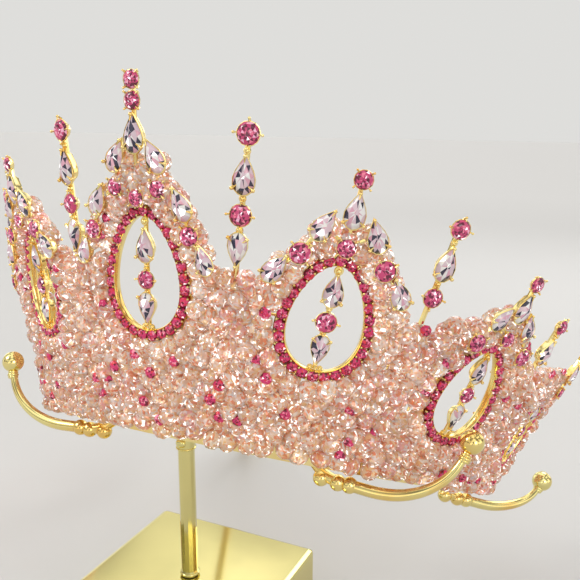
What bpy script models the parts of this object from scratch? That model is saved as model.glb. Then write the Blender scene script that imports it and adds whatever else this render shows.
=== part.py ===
"""Beaded tiara on a gold display stand, as named solids. Metres, +Z up, the tiara's front faces -Y."""
import math

import bmesh
import bpy
from mathutils import Matrix, Vector

MM = 0.001
GAP = 0.3

# Stand, in millimetres
BASE_SIDE = 60.0
BASE_HEIGHT = 18.0
BASE_BEVEL = 1.6
POST_RADIUS = 2.55
POST_LENGTH = 48.3
COLLAR_RADIUS = 2.85
COLLAR_HEIGHT = 4.6
ROD_RADIUS = 1.7
BALL_RADIUS = 3.4
BEAD_RADIUS = 2.4

# The ring of the tiara: a cone that leans back on the stand
RING_RADIUS = 78.0
FLARE = math.radians(25.4)
TILT = math.radians(26.1)
RING_BACK = 54.0
RING_LIFT = 20.7
HUB_Y = -62.4
HUB_LEVEL = 4.6
HUB_RADIUS = 4.0
HUB_DEPTH = 4.0

# Beaded wall
WINDOW_PITCH = 29.5
STEPS_PER_PITCH = 8
HEIGHT_STRETCH = 1.02
ROWS = 8
WALL_INNER = -2.0
WALL_OUTER = 1.3
BEAD_RELIEF = 0.0011
BAND_INNER = -3.3
BAND_OUTER = -2.3
BAND_FOOT = -2.0
BAND_TOP = 4.0
FRAME_WIDTH = 3.0
FRAME_INNER = -1.5
FRAME_OUTER = 2.3
EGG_SIDES = 20
EGG_TAPER = 0.2

# Settings and wires
STONE_SIDES = 8
WIRE_RADIUS = 0.6
WIRE_SIDES = 5
OUTSIDE = 4.15
MIDDLE = 0.9
CUP_DEPTH = 1.6

# Height of the bead edge, one value for each eighth of a window pitch from the front to the end
BEAD_TOP = (
    75.0, 70.0, 56.0, 48.5, 46.5, 48.0, 53.0, 59.0, 61.5, 59.0,
    53.0, 47.5, 44.5, 45.5, 48.0, 51.0, 53.0, 51.0, 46.5, 42.5,
    40.0, 41.0, 43.0, 44.2, 45.0, 43.0, 40.0, 32.0, 23.0, 14.0,
)
COLUMNS = len(BEAD_TOP) - 1
COLUMN_STEP = WINDOW_PITCH / STEPS_PER_PITCH
WALL_END = COLUMNS * COLUMN_STEP

# Openings: place, foot, top and width
WINDOWS = (
    ("centre", 0, 29.5, 59.4, 20.0),
    ("inner", 1, 26.5, 54.4, 19.2),
    ("outer", 2, 16.3, 42.5, 18.0),
    ("end", 3, 12.5, 35.5, 16.5),
)

# Drops: place, then kind, height and size of each stone from the top
DROPS = {
    0: (("pear", 52.0, 8.6), ("round", 42.8, 5.2), ("point", 35.0, 8.2)),
    1: (("pear", 48.2, 8.4), ("round", 39.6, 5.6), ("point", 32.0, 7.8)),
    2: (("pear", 37.0, 7.8), ("round", 29.2, 5.0), ("point", 22.2, 7.2)),
    3: (("pear", 30.6, 6.8), ("round", 23.8, 4.4), ("point", 17.6, 6.2)),
}

# Peaks: kind, sideways place, height, size and lean in degrees, right half and middle only
PEAKS = {
    0: (
        ("round", 0.0, 93.2, 4.8, 0), ("round", 0.0, 88.2, 4.8, 0), ("pear", 0.0, 80.4, 9.2, 0),
        ("pear", 5.6, 75.0, 8.4, 28), ("round", 0.0, 64.4, 4.6, 0), ("round", 6.4, 67.0, 4.8, 0),
        ("pear", 12.4, 63.8, 8.4, 28), ("round", 14.6, 56.0, 5.2, 0), ("pear", 18.2, 50.6, 7.4, 20),
    ),
    1: (
        ("round", 0.0, 76.6, 4.8, 0), ("pear", 0.0, 69.2, 8.6, 0), ("pear", 6.3, 64.4, 8.2, 26),
        ("round", 0.0, 59.8, 5.0, 0), ("round", 10.5, 56.4, 5.6, 0), ("pear", 15.4, 51.8, 8.2, 34),
    ),
    2: (
        ("round", 0.0, 64.6, 4.6, 0), ("pear", 0.0, 57.6, 8.2, 0), ("pear", 5.2, 53.2, 7.6, 26),
        ("round", 0.0, 48.2, 4.6, 0), ("round", 9.2, 44.8, 5.4, 0),
    ),
    3: (
        ("round", 0.0, 54.0, 4.2, 0), ("pear", 0.0, 47.6, 7.2, 0), ("round", 0.0, 40.8, 4.2, 0),
    ),
}

# Spires: place in window pitches, then kind, height and size of each stone
SPIRES = {
    0.5: (("round", 82.2, 6.0), ("pear", 72.4, 9.2), ("round", 62.4, 5.8), ("point", 53.6, 8.4)),
    1.5: (("round", 70.8, 5.4), ("pear", 61.6, 8.8), ("round", 52.2, 5.4)),
    2.5: (("round", 57.0, 5.0), ("pear", 48.6, 8.0)),
}

# Arms of the cradle: name, azimuth of the ball, ball's radius from the ring's axis, ball's level
ARMS = (
    ("left", -41.5, 95.0, 11.8),
    ("right_front", 58.9, 96.0, 14.0),
    ("right_back", 105.0, 98.8, 7.0),
    ("left_back", -150.4, 94.0, 1.0),
)


def clear_scene():
    for thing in list(bpy.data.objects):
        bpy.data.objects.remove(thing, do_unlink=True)


def make_collection(name):
    group = bpy.data.collections.new(name)
    bpy.context.scene.collection.children.link(group)
    return group


def make_material(name, colour, roughness, metallic):
    material = bpy.data.materials.new(name)
    material.use_nodes = True
    shader = material.node_tree.nodes["Principled BSDF"]
    shader.inputs["Base Color"].default_value = (*colour, 1.0)
    shader.inputs["Roughness"].default_value = roughness
    shader.inputs["Metallic"].default_value = metallic
    return material


def gold():
    return make_material("gold", (0.83, 0.58, 0.22), 0.16, 1.0)


def pale_gold():
    return make_material("pale_gold", (0.86, 0.74, 0.40), 0.12, 1.0)


def pink_bead():
    return make_material("pink_bead", (0.95, 0.62, 0.56), 0.15, 0.0)


def raspberry_stone():
    return make_material("raspberry_stone", (0.62, 0.05, 0.20), 0.12, 0.0)


def lilac_stone():
    return make_material("lilac_stone", (0.80, 0.72, 0.84), 0.08, 0.0)


def ring_to_world():
    """The ring's own frame: its axis leans back, and its centre lies behind the post."""
    lean = Matrix.Rotation(-TILT, 4, "X")
    return Matrix.Translation((0.0, RING_BACK, RING_LIFT + BASE_HEIGHT)) @ lean


def wall_frame(azimuth, height, depth=0.0, sideways=0.0, turn=0.0):
    """Frame on the flared wall: X runs round it, Y up it and Z outward."""
    height = height * HEIGHT_STRETCH
    radius = RING_RADIUS + height * math.sin(FLARE)
    angle = math.radians(azimuth) + sideways / radius
    upright = Matrix.Rotation(angle, 4, "Z") @ Matrix.Translation((0.0, -RING_RADIUS, 0.0))
    slope = Matrix.Rotation(math.pi / 2 + FLARE, 4, "X")
    local = Matrix.Translation((0.0, height, depth)) @ Matrix.Rotation(math.radians(turn), 4, "Z")
    return ring_to_world() @ upright @ slope @ local


def wall_point(azimuth, height, depth):
    return wall_frame(azimuth, height, depth).to_translation()


def add_object(name, mesh_maker, material, group):
    """Run mesh_maker on a new bmesh in millimetres, and store the result in metres."""
    bm = bmesh.new()
    mesh_maker(bm)
    bmesh.ops.recalc_face_normals(bm, faces=bm.faces)
    bmesh.ops.scale(bm, vec=(MM, MM, MM), verts=bm.verts)
    mesh = bpy.data.meshes.new(name)
    bm.to_mesh(mesh)
    bm.free()
    if material:
        mesh.materials.append(material)
    thing = bpy.data.objects.new(name, mesh)
    group.objects.link(thing)
    return thing


def loft(bm, rings, wrap=False):
    """Skin through rings of equal length, capped at both ends unless it wraps round."""
    rows = [[bm.verts.new(point) for point in ring] for ring in rings]
    pairs = list(zip(rows, rows[1:]))
    if wrap:
        pairs.append((rows[-1], rows[0]))
    for low, high in pairs:
        for i in range(len(low)):
            j = (i + 1) % len(low)
            bm.faces.new((low[i], low[j], high[j], high[i]))
    if not wrap:
        bm.faces.new(rows[0])
        bm.faces.new(rows[-1])


def stone_outline(kind, size):
    """Plan of a cut stone: a regular one for a round, a drop shape for a pear."""
    points = []
    for i in range(STONE_SIDES):
        angle = 2 * math.pi * (i + 0.5) / STONE_SIDES
        x, y = math.sin(angle), math.cos(angle)
        if kind == "round":
            points.append((x * size / 2, y * size / 2))
        else:
            angle = 2 * math.pi * i / STONE_SIDES
            x, y = math.sin(angle), math.cos(angle)
            narrow = 1.0 - 0.42 * y - 0.12 * y * y
            points.append((x * size * 0.33 * narrow, y * size / 2))
    if kind == "point":
        points = [(-x, -y) for x, y in points]
    return points


def stone(bm, frame, kind, size):
    """Cut stone fused to its cup: back, rim, girdle and table."""
    reach = min(size, 6.0)
    levels = ((-CUP_DEPTH, 0.62), (-0.02 * reach, 1.1), (0.06 * reach, 1.0), (0.2 * reach, 0.56))
    outline = stone_outline(kind, size)
    rings = []
    for level, spread in levels:
        rings.append([frame @ Vector((x * spread, y * spread, level)) for x, y in outline])
    loft(bm, rings)


def wire(bm, start, end, radius=WIRE_RADIUS, sides=WIRE_SIDES):
    """Straight stretch of wire between two points."""
    along = end - start
    turn = along.to_track_quat("Z", "Y").to_matrix().to_4x4()
    frame = Matrix.Translation((start + end) / 2) @ turn
    bmesh.ops.create_cone(bm, cap_ends=True, segments=sides, radius1=radius, radius2=radius,
                          depth=along.length, matrix=frame)


def fuse(name, shapes, material, group):
    """Union of the shapes, each a function that draws one closed shell on a bmesh."""
    first = add_object(name, shapes[0], material, group)

    def rest(bm):
        for shape in shapes[1:]:
            shape(bm)

    tool = add_object(name + "_tool", rest, material, group)
    union = first.modifiers.new("union", "BOOLEAN")
    union.operation = "UNION"
    union.object = tool
    union.use_self = True
    bpy.context.view_layer.update()
    graph = bpy.context.evaluated_depsgraph_get()
    mesh = bpy.data.meshes.new_from_object(first.evaluated_get(graph))
    first.modifiers.remove(union)
    first.data = mesh
    mesh.name = name
    bpy.data.objects.remove(tool, do_unlink=True)
    return first


def egg(foot, top, width, margin=0.0):
    """Window outline, wide below and narrow above, as sideways and height pairs."""
    middle = (foot + top) / 2
    points = []
    for i in range(EGG_SIDES):
        angle = 2 * math.pi * i / EGG_SIDES
        y = math.cos(angle)
        taper = 1.0 - EGG_TAPER * y
        x = math.sin(angle) * taper
        points.append((x * (width / 2 + margin), middle + y * ((top - foot) / 2 + margin)))
    return points


def egg_ring(azimuth, outline, depth):
    ring = []
    for sideways, height in outline:
        ring.append(wall_frame(azimuth, height, depth, sideways).to_translation())
    return ring


def make_window_cutter(name, window, side, group):
    label, place, foot, top, width = window
    azimuth = side * place * WINDOW_PITCH
    outline = egg(foot, top, width, FRAME_WIDTH + GAP)

    def draw(bm):
        loft(bm, [egg_ring(azimuth, outline, depth) for depth in (-6.0, 6.0)])

    cutter = add_object(name, draw, None, group)
    cutter.hide_render = True
    cutter.display_type = "WIRE"
    return cutter


def make_window_frame(name, window, side, material, group):
    label, place, foot, top, width = window
    azimuth = side * place * WINDOW_PITCH
    inside = egg(foot, top, width)
    outside = egg(foot, top, width, FRAME_WIDTH)

    def draw(bm):
        corners = [
            egg_ring(azimuth, inside, FRAME_INNER), egg_ring(azimuth, inside, FRAME_OUTER),
            egg_ring(azimuth, outside, FRAME_OUTER), egg_ring(azimuth, outside, FRAME_INNER),
        ]
        loft(bm, [list(section) for section in zip(*corners)], wrap=True)

    return add_object(name, draw, material, group)


def bead_top(azimuth):
    """Height of the bead edge at an azimuth that lies on one of the columns."""
    return BEAD_TOP[round(abs(azimuth) / COLUMN_STEP)]


def make_bead_field(name, side, cutters, material, group):
    """Half of the beaded wall: a flared shell with a raised point for each bead."""
    margin = math.degrees(GAP / 2 / RING_RADIUS)

    def draw(bm):
        outer = []
        inner = []
        for column in range(COLUMNS + 1):
            top = BEAD_TOP[column]
            azimuth = side * max(column * COLUMN_STEP, margin)
            heights = [top * row / ROWS for row in range(ROWS + 1)]
            outer.append([bm.verts.new(wall_point(azimuth, h, WALL_OUTER)) for h in heights])
            ends = (0.0, top)
            inner.append([bm.verts.new(wall_point(azimuth, h, WALL_INNER)) for h in ends])
        beads = []
        for a, b in zip(outer, outer[1:]):
            for row in range(ROWS):
                beads.append(bm.faces.new((a[row], b[row], b[row + 1], a[row + 1])))
        for a, b in zip(inner, inner[1:]):
            bm.faces.new((a[0], a[1], b[1], b[0]))
        for a, b, c, d in zip(outer, outer[1:], inner, inner[1:]):
            bm.faces.new((a[0], c[0], d[0], b[0]))
            bm.faces.new((a[-1], b[-1], d[1], c[1]))
        bm.faces.new(outer[0] + inner[0][::-1])
        bm.faces.new(outer[-1] + inner[-1][::-1])
        bmesh.ops.recalc_face_normals(bm, faces=bm.faces)
        bmesh.ops.poke(bm, faces=beads, offset=BEAD_RELIEF / MM)

    wall = add_object(name, draw, material, group)
    for cutter in cutters:
        hole = wall.modifiers.new(cutter.name, "BOOLEAN")
        hole.operation = "DIFFERENCE"
        hole.object = cutter
    return wall


def make_rim_band(material, group):
    """Narrow strip of metal inside the foot of the beaded wall."""
    steps = COLUMNS + 1

    def draw(bm):
        sections = []
        for i in range(steps + 1):
            azimuth = WALL_END * (2 * i / steps - 1)
            corners = ((BAND_FOOT, BAND_INNER), (BAND_FOOT, BAND_OUTER),
                       (BAND_TOP, BAND_OUTER), (BAND_TOP, BAND_INNER))
            sections.append([wall_point(azimuth, height, depth) for height, depth in corners])
        loft(bm, sections)

    return add_object("rim_band", draw, material, group)


def side_name(label, side):
    if label == "centre":
        return label
    return label + ("_right" if side > 0 else "_left")


def drop_shapes(azimuth, window, stones):
    """Wire from head to foot of the window, with the stones soldered to its face."""
    label, place, foot, top, width = window
    low = wall_point(azimuth, foot + GAP, 0.0)
    high = wall_point(azimuth, top - GAP, 0.0)
    shapes = [lambda bm: wire(bm, low, high)]
    for kind, height, size in stones:
        frame = wall_frame(azimuth, height, MIDDLE)
        shapes.append(lambda bm, f=frame, k=kind, s=size: stone(bm, f, k, s))
    return shapes


def spire_shapes(azimuth, stones):
    """Stake that stands on the bead edge, with stones on its face."""
    low = wall_point(azimuth, bead_top(azimuth) + GAP, 0.0)
    high = wall_point(azimuth, stones[0][1] + 0.5, 0.0)
    shapes = [lambda bm: wire(bm, low, high, WIRE_RADIUS * 1.3)]
    for kind, height, size in stones:
        frame = wall_frame(azimuth, height, MIDDLE)
        shapes.append(lambda bm, f=frame, k=kind, s=size: stone(bm, f, k, s))
    return shapes


def peak_shapes(azimuth, stones):
    """Stem and two curved branches of wire, with the stones soldered on them."""
    middle = [row for row in stones if row[1] == 0.0]
    branch = [row for row in stones if row[1] > 0.0]
    depth = OUTSIDE - 0.8
    seats = [(0.0, row[2]) for row in middle]
    runs = [((0.0, seats[0][1] + 0.4), seats[-1])]
    for side in (-1, 1):
        path = [seats[-1]] + [(side * row[1], row[2]) for row in branch]
        runs.extend(zip(path, path[1:]))
    shapes = []
    for (x0, h0), (x1, h1) in runs:
        start = wall_frame(azimuth, h0, depth, x0).to_translation()
        end = wall_frame(azimuth, h1, depth, x1).to_translation()
        shapes.append(lambda bm, a=start, b=end: wire(bm, a, b))
    for kind, sideways, height, size, lean in stones:
        for side in (-1, 1) if sideways else (1,):
            frame = wall_frame(azimuth, height, OUTSIDE, side * sideways, side * lean)
            shapes.append(lambda bm, f=frame, k=kind, s=size: stone(bm, f, k, s))
    return shapes


def make_base(material, group):
    def draw(bm):
        size = Matrix.Diagonal((BASE_SIDE, BASE_SIDE, BASE_HEIGHT, 1.0))
        middle = Matrix.Translation((0.0, 0.0, BASE_HEIGHT / 2))
        bmesh.ops.create_cube(bm, size=1.0, matrix=middle @ size)

    base = add_object("stand_base", draw, material, group)
    edge = base.modifiers.new("edge", "BEVEL")
    edge.width = BASE_BEVEL * MM
    edge.segments = 2
    return base


def make_post(material, group):
    """Turned post with a collar; the profile runs down its outer side."""
    foot = BASE_HEIGHT + GAP
    head = BASE_HEIGHT + POST_LENGTH
    profile = (
        (0.0, head), (POST_RADIUS, head), (COLLAR_RADIUS, head - 0.6),
        (COLLAR_RADIUS, head - COLLAR_HEIGHT), (POST_RADIUS, head - COLLAR_HEIGHT - 0.4),
        (POST_RADIUS, foot + 1.6), (COLLAR_RADIUS, foot + 1.2), (COLLAR_RADIUS, foot), (0.0, foot),
    )

    def draw(bm):
        points = [bm.verts.new((x, 0.0, z)) for x, z in profile]
        for a, b in zip(points, points[1:]):
            bm.edges.new((a, b))

    post = add_object("stand_post", draw, material, group)
    turn = post.modifiers.new("turn", "SCREW")
    turn.steps = 12
    turn.render_steps = 12
    turn.use_merge_vertices = True
    turn.merge_threshold = 0.00001
    return post


def ring_point(x, y, level):
    return ring_to_world() @ Vector((x, y, level))


def make_hub(material, group):
    """Flat round hub on the post, in the plane of the ring."""
    def draw(bm):
        place = ring_to_world() @ Matrix.Translation((0.0, HUB_Y, HUB_LEVEL))
        bmesh.ops.create_cone(bm, cap_ends=True, segments=16, radius1=HUB_RADIUS,
                              radius2=HUB_RADIUS, depth=HUB_DEPTH, matrix=place)

    return add_object("cradle_hub", draw, material, group)


def arm_plan(azimuth, radius):
    """Direction of an arm from the hub, and its distances to the rim and to the ball."""
    angle = math.radians(azimuth)
    ball = Vector((radius * math.sin(angle), -radius * math.cos(angle)))
    hub = Vector((0.0, HUB_Y))
    reach = (ball - hub).length
    along = (ball - hub) / reach
    half = hub.dot(along)
    rim = -half + math.sqrt(half * half + RING_RADIUS ** 2 - HUB_Y ** 2)
    return along, rim, reach


def arm_tube(name, along, stations, group):
    """Tapered tube through the stations: distance from the hub, level and thickness."""
    data = bpy.data.curves.new(name, "CURVE")
    data.dimensions = "3D"
    data.bevel_depth = ROD_RADIUS * MM
    data.bevel_resolution = 1
    data.use_fill_caps = True
    line = data.splines.new("POLY")
    line.points.add(len(stations) - 1)
    for point, (distance, level, thick) in zip(line.points, stations):
        spot = ring_point(along.x * distance, HUB_Y + along.y * distance, level) * MM
        point.co = (*spot, 1.0)
        point.radius = thick
    curve = bpy.data.objects.new(name, data)
    group.objects.link(curve)
    bpy.context.view_layer.update()
    graph = bpy.context.evaluated_depsgraph_get()
    mesh = bpy.data.meshes.new_from_object(curve.evaluated_get(graph))
    bpy.data.objects.remove(curve, do_unlink=True)
    bm = bmesh.new()
    bm.from_mesh(mesh)
    bmesh.ops.remove_doubles(bm, verts=bm.verts, dist=0.000001)
    bmesh.ops.scale(bm, vec=(1 / MM, 1 / MM, 1 / MM), verts=bm.verts)
    return bm


def make_arm(row, material, group):
    """Arm under the rim: rod, three beads, scroll that turns up outside, collar and ball."""
    label, azimuth, radius, level = row
    along, rim, reach = arm_plan(azimuth, radius)
    low = BAND_FOOT * math.cos(FLARE) - 0.6 - ROD_RADIUS
    outer = reach - rim
    climb = level - low
    stations = (
        (HUB_RADIUS + GAP, HUB_LEVEL, 0.8), (rim - 22.0, HUB_LEVEL, 0.8), (rim - 17.0, 1.0, 0.9),
        (rim - 12.0, low + 0.6, 1.0), (rim - 4.0, low, 1.0), (rim + outer * 0.15, low - 0.6, 1.0),
        (rim + outer * 0.42, low + climb * 0.03, 0.95), (rim + outer * 0.66, low + climb * 0.2, 0.85),
        (rim + outer * 0.84, low + climb * 0.45, 0.75), (rim + outer * 0.95, low + climb * 0.76, 0.65),
        (reach, level, 0.6),
    )
    rod = arm_tube("arm_rod", along, stations, group)

    def spot(distance, height):
        return ring_point(along.x * distance, HUB_Y + along.y * distance, height)

    def draw_rod(bm):
        copy = bpy.data.meshes.new("arm_rod_copy")
        rod.to_mesh(copy)
        bm.from_mesh(copy)
        bpy.data.meshes.remove(copy)

    def draw_ball(bm, place, size, sides, rings):
        bmesh.ops.create_uvsphere(bm, u_segments=sides, v_segments=rings, radius=size,
                                  matrix=Matrix.Translation(place))

    shapes = [draw_rod]
    shapes.append(lambda bm: draw_ball(bm, spot(reach, level), BALL_RADIUS, 12, 7))
    for distance in (rim - 13.5, rim - 8.6, rim - 5.2):
        place = spot(distance, low + (0.5 if distance < rim - 12 else 0.1))
        shapes.append(lambda bm, p=place: draw_ball(bm, p, BEAD_RADIUS, 8, 5))
    neck = spot(rim + outer * 0.95, low + climb * 0.74)
    rise = (spot(reach, level) - neck).normalized()
    shapes.append(lambda bm: wire(bm, neck - rise * 0.8, neck + rise * 0.8, 1.9, 8))
    arm = fuse("cradle_arm_" + label, shapes, material, group)
    rod.free()
    return arm


def smooth(things, angle):
    """Round pieces are shaded smooth up to a sharp edge."""
    for thing in things:
        thing.data.shade_smooth()
        thing.data.set_sharp_from_angle(angle=math.radians(angle))


def main():
    clear_scene()
    parts = make_collection("tiara_on_display_stand")
    tools = make_collection("cutters")
    metal = gold()
    stand_metal = pale_gold()
    stand = [make_base(stand_metal, parts), make_post(stand_metal, parts), make_hub(metal, parts)]
    for row in ARMS:
        stand.append(make_arm(row, metal, parts))
    smooth(stand, 35)
    make_rim_band(metal, parts)
    bead = pink_bead()
    ruby = raspberry_stone()
    clear_stone = lilac_stone()
    cutters = {-1: [], 1: []}
    for window in WINDOWS:
        place = window[1]
        for side in (-1, 1) if place else (1,):
            name = side_name(window[0], side)
            azimuth = side * place * WINDOW_PITCH
            cutter = make_window_cutter("cutter_" + name, window, side, tools)
            for half in (-1, 1) if place == 0 else (side,):
                cutters[half].append(cutter)
            make_window_frame("window_frame_" + name, window, side, ruby, parts)
            drop = drop_shapes(azimuth, window, DROPS[place])
            fuse("window_drop_" + name, drop, clear_stone, parts)
            fuse("peak_" + name, peak_shapes(azimuth, PEAKS[place]), clear_stone, parts)
    for place, stones in SPIRES.items():
        for side in (-1, 1):
            label = {0.5: "inner", 1.5: "middle", 2.5: "outer"}[place]
            shapes = spire_shapes(side * place * WINDOW_PITCH, stones)
            fuse("spire_" + side_name(label, side), shapes, clear_stone, parts)
    for side, label in ((1, "right"), (-1, "left")):
        make_bead_field("bead_field_" + label, side, cutters[side], bead, parts)


main()
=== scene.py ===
"""Looks for a beaded tiara on a gold display stand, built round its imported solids."""
import math
import random

import bmesh
import bpy
import numpy as np
from mathutils import Matrix, Vector


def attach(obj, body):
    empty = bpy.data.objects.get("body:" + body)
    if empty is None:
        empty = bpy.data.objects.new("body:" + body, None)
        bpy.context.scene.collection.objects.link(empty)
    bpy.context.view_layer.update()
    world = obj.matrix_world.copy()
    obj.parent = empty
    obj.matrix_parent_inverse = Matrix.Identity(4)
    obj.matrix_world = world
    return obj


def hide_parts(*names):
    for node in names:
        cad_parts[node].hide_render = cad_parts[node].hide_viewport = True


bl_info = {
    "name": "Beaded Tiara",
    "version": (1, 0, 0),
    "blender": (4, 5, 0),
    "location": "3D View > Sidebar > Tiara",
    "description": "Builds a beaded tiara with set stones on a gold display stand",
    "category": "Add Mesh",
}

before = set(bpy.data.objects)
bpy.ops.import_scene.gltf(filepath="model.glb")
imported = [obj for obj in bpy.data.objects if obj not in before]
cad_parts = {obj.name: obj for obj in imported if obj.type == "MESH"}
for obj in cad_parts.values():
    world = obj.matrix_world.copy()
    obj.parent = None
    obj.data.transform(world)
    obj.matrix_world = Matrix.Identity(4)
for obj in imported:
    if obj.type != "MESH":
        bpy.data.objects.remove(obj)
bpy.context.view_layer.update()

MM = 0.001

# The ring of the tiara, in millimetres: a flared cone that leans back on the stand
RING_RADIUS = 78.0
FLARE = math.radians(25.4)
TILT = math.radians(26.1)
RING_BACK = 54.0
RING_LEVEL = 38.7
HUB_Y = -62.4
HUB_LEVEL = 4.6
HUB_RADIUS = 4.0
POST_HEAD = 66.3
POST_FOOT = 19.0
COLLAR_RADIUS = 2.85

# Beaded wall, in millimetres and degrees
WINDOW_PITCH = 29.5
COLUMN_STEP = WINDOW_PITCH / 8
HEIGHT_STRETCH = 1.02
BEAD_TOP = (
    75.0, 70.0, 56.0, 48.5, 46.5, 48.0, 53.0, 59.0, 61.5, 59.0,
    53.0, 47.5, 44.5, 45.5, 48.0, 51.0, 53.0, 51.0, 46.5, 42.5,
    40.0, 41.0, 43.0, 44.2, 45.0, 43.0, 40.0, 32.0, 23.0, 14.0,
)
WALL_END = (len(BEAD_TOP) - 1) * COLUMN_STEP
FRAME_WIDTH = 3.0
EGG_TAPER = 0.2

# Depths from the wall's middle, in millimetres: towards the head below nought, outward above it
LATTICE_DEPTH = -2.4
BACK_BEAD_DEPTH = -0.9
BEAD_DEPTHS = (-0.4, 1.3)
COLLAR_DEPTHS = (-0.3, 1.1)
CREST_DEPTHS = (0.7, 1.9)
GLIMPSE_DEPTH = 2.3
BAND_DEPTH = 0.1
DROP_DEPTH = 0.9
PEAK_DEPTH = 4.15
KNOT_DEPTH = 0.4

# Shares: a row's rise in its spacing, and the bead places with a small stone behind them
ROW_RISE = 0.88
GLIMPSE_SHARE = 0.19

# Rows of beads, stones and wires, in millimetres, and what they keep clear of each opening
FIRST_ROW = 2.5
COLLAR_REACHES = (2.5, 6.6, 10.7)
CREST_BEAD_STEP = 4.2
GLIMPSE_WIDTH = 3.4
WIRE_ROWS = 11
FIRST_WIRE = 2.0
WIRE_RISE = 7.2
WIRE_STEP = 2.4
BEAD_CLEARANCE = FRAME_WIDTH + 5.4
CREST_CLEARANCE = FRAME_WIDTH + 2.2
BACK_CLEARANCE = FRAME_WIDTH + 2.0
GLIMPSE_CLEARANCE = FRAME_WIDTH + 1.0
WIRE_CLEARANCE = FRAME_WIDTH - 1.0

# Openings: name, place in window pitches, foot, top and width
WINDOWS = (
    ("centre", 0, 29.5, 59.4, 20.0),
    ("inner", 1, 26.5, 54.4, 19.2),
    ("outer", 2, 16.3, 42.5, 18.0),
    ("end", 3, 12.5, 35.5, 16.5),
)

# Drops in the openings: kind, height and size of each stone from the top
DROPS = {
    0: (("pear", 52.0, 8.6), ("round", 42.8, 5.2), ("point", 35.0, 8.2)),
    1: (("pear", 48.2, 8.4), ("round", 39.6, 5.6), ("point", 32.0, 7.8)),
    2: (("pear", 37.0, 7.8), ("round", 29.2, 5.0), ("point", 22.2, 7.2)),
    3: (("pear", 30.6, 6.8), ("round", 23.8, 4.4), ("point", 17.6, 6.2)),
}

# Peaks: kind, sideways place, height, size and lean in degrees, right half and middle only
PEAKS = {
    0: (
        ("round", 0.0, 93.2, 4.8, 0), ("round", 0.0, 88.2, 4.8, 0), ("pear", 0.0, 80.4, 9.2, 0),
        ("pear", 5.6, 75.0, 8.4, 28), ("round", 0.0, 64.4, 4.6, 0), ("round", 6.4, 67.0, 4.8, 0),
        ("pear", 12.4, 63.8, 8.4, 28), ("round", 14.6, 56.0, 5.2, 0), ("pear", 18.2, 50.6, 7.4, 20),
    ),
    1: (
        ("round", 0.0, 76.6, 4.8, 0), ("pear", 0.0, 69.2, 8.6, 0), ("pear", 6.3, 64.4, 8.2, 26),
        ("round", 0.0, 59.8, 5.0, 0), ("round", 10.5, 56.4, 5.6, 0), ("pear", 15.4, 51.8, 8.2, 34),
    ),
    2: (
        ("round", 0.0, 64.6, 4.6, 0), ("pear", 0.0, 57.6, 8.2, 0), ("pear", 5.2, 53.2, 7.6, 26),
        ("round", 0.0, 48.2, 4.6, 0), ("round", 9.2, 44.8, 5.4, 0),
    ),
    3: (
        ("round", 0.0, 54.0, 4.2, 0), ("pear", 0.0, 47.6, 7.2, 0), ("round", 0.0, 40.8, 4.2, 0),
    ),
}

# Turn of the round stones' claws in the crests, in degrees
ROUND_TURN = 45

# Spires between the openings: label and place, then kind, height and size of each stone
SPIRES = {
    ("inner", 0.5): (
        ("round", 82.2, 6.0), ("pear", 72.4, 9.2), ("round", 62.4, 5.8), ("point", 53.6, 8.4)),
    ("middle", 1.5): (("round", 70.8, 5.4), ("pear", 61.6, 8.8), ("round", 52.2, 5.4)),
    ("outer", 2.5): (("round", 57.0, 5.0), ("pear", 48.6, 8.0)),
}

# Arms of the cradle: name, azimuth of the ball, its radius from the ring's axis, its level
ARMS = (
    ("left", -41.5, 95.0, 11.8),
    ("right_front", 58.9, 96.0, 14.0),
    ("right_back", 105.0, 98.8, 7.0),
    ("left_back", -150.4, 94.0, 1.0),
)


def length_property(name, description, default):
    return bpy.props.FloatProperty(name=name, description=description, default=default, unit="LENGTH")


class TiaraSizes(bpy.types.PropertyGroup):
    """Sizes of the repeated small pieces."""

    bead_width: length_property("Bead width", "Width of a cut glass bead", 0.0065)
    bead_spacing: length_property(
        "Bead spacing", "Distance between the middles of neighbouring beads", 0.0049)
    bead_scatter: length_property("Bead scatter", "How far a bead may stray from its row", 0.0007)
    band_stone_width: length_property(
        "Band stone width", "Width of a stone in the bands round the openings", 0.0031)
    wire_width: length_property("Wire width", "Thickness of the wires that carry the stones", 0.0012)
    lattice_width: length_property("Lattice width", "Thickness of the wires behind the beads", 0.0008)
    rod_width: length_property("Rod width", "Thickness of the cradle's arms under the rim", 0.0034)
    ball_width: length_property("Ball width", "Width of the balls at the ends of the arms", 0.0068)


def colour_property(name, description, default):
    return bpy.props.FloatVectorProperty(
        name=name, description=description, default=default, size=3, min=0.0, max=1.0,
        subtype="COLOR")


class TiaraColours(bpy.types.PropertyGroup):
    """Main colours of the metal, the glass and the stones."""

    gold: colour_property("Gold", "Polished yellow gold of the tiara", (0.95, 0.80, 0.36))
    gold_shade: colour_property(
        "Gold shade", "Orange tone in patches of the gold", (0.84, 0.52, 0.14))
    arm_gold: colour_property("Arm gold", "Yellow gold of the cradle's arms", (0.86, 0.76, 0.32))
    stand_gold: colour_property("Stand gold", "Pale mirror gold of the stand", (0.74, 0.66, 0.28))
    bead_pale: colour_property("Pale bead", "Champagne glass of most beads", (1.0, 0.86, 0.73))
    bead_warm: colour_property("Warm bead", "Peach glass of the warmer beads", (1.0, 0.69, 0.51))
    # Painted glints: orange and coral facets that stand in for light caught in the beads
    bead_glint: colour_property(
        "Bead glint", "Orange and coral facets of the beads", (0.95, 0.36, 0.20))
    raspberry: colour_property("Raspberry", "Round stones", (0.72, 0.07, 0.22))
    crimson: colour_property("Crimson", "Small stones of the bands", (0.58, 0.01, 0.07))
    lilac: colour_property("Lilac", "Drop-shaped stones", (0.76, 0.62, 0.72))
    floor: colour_property("Floor", "Plain floor", (0.60, 0.595, 0.585))


def sizes():
    return bpy.context.scene.tiara_sizes


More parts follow.
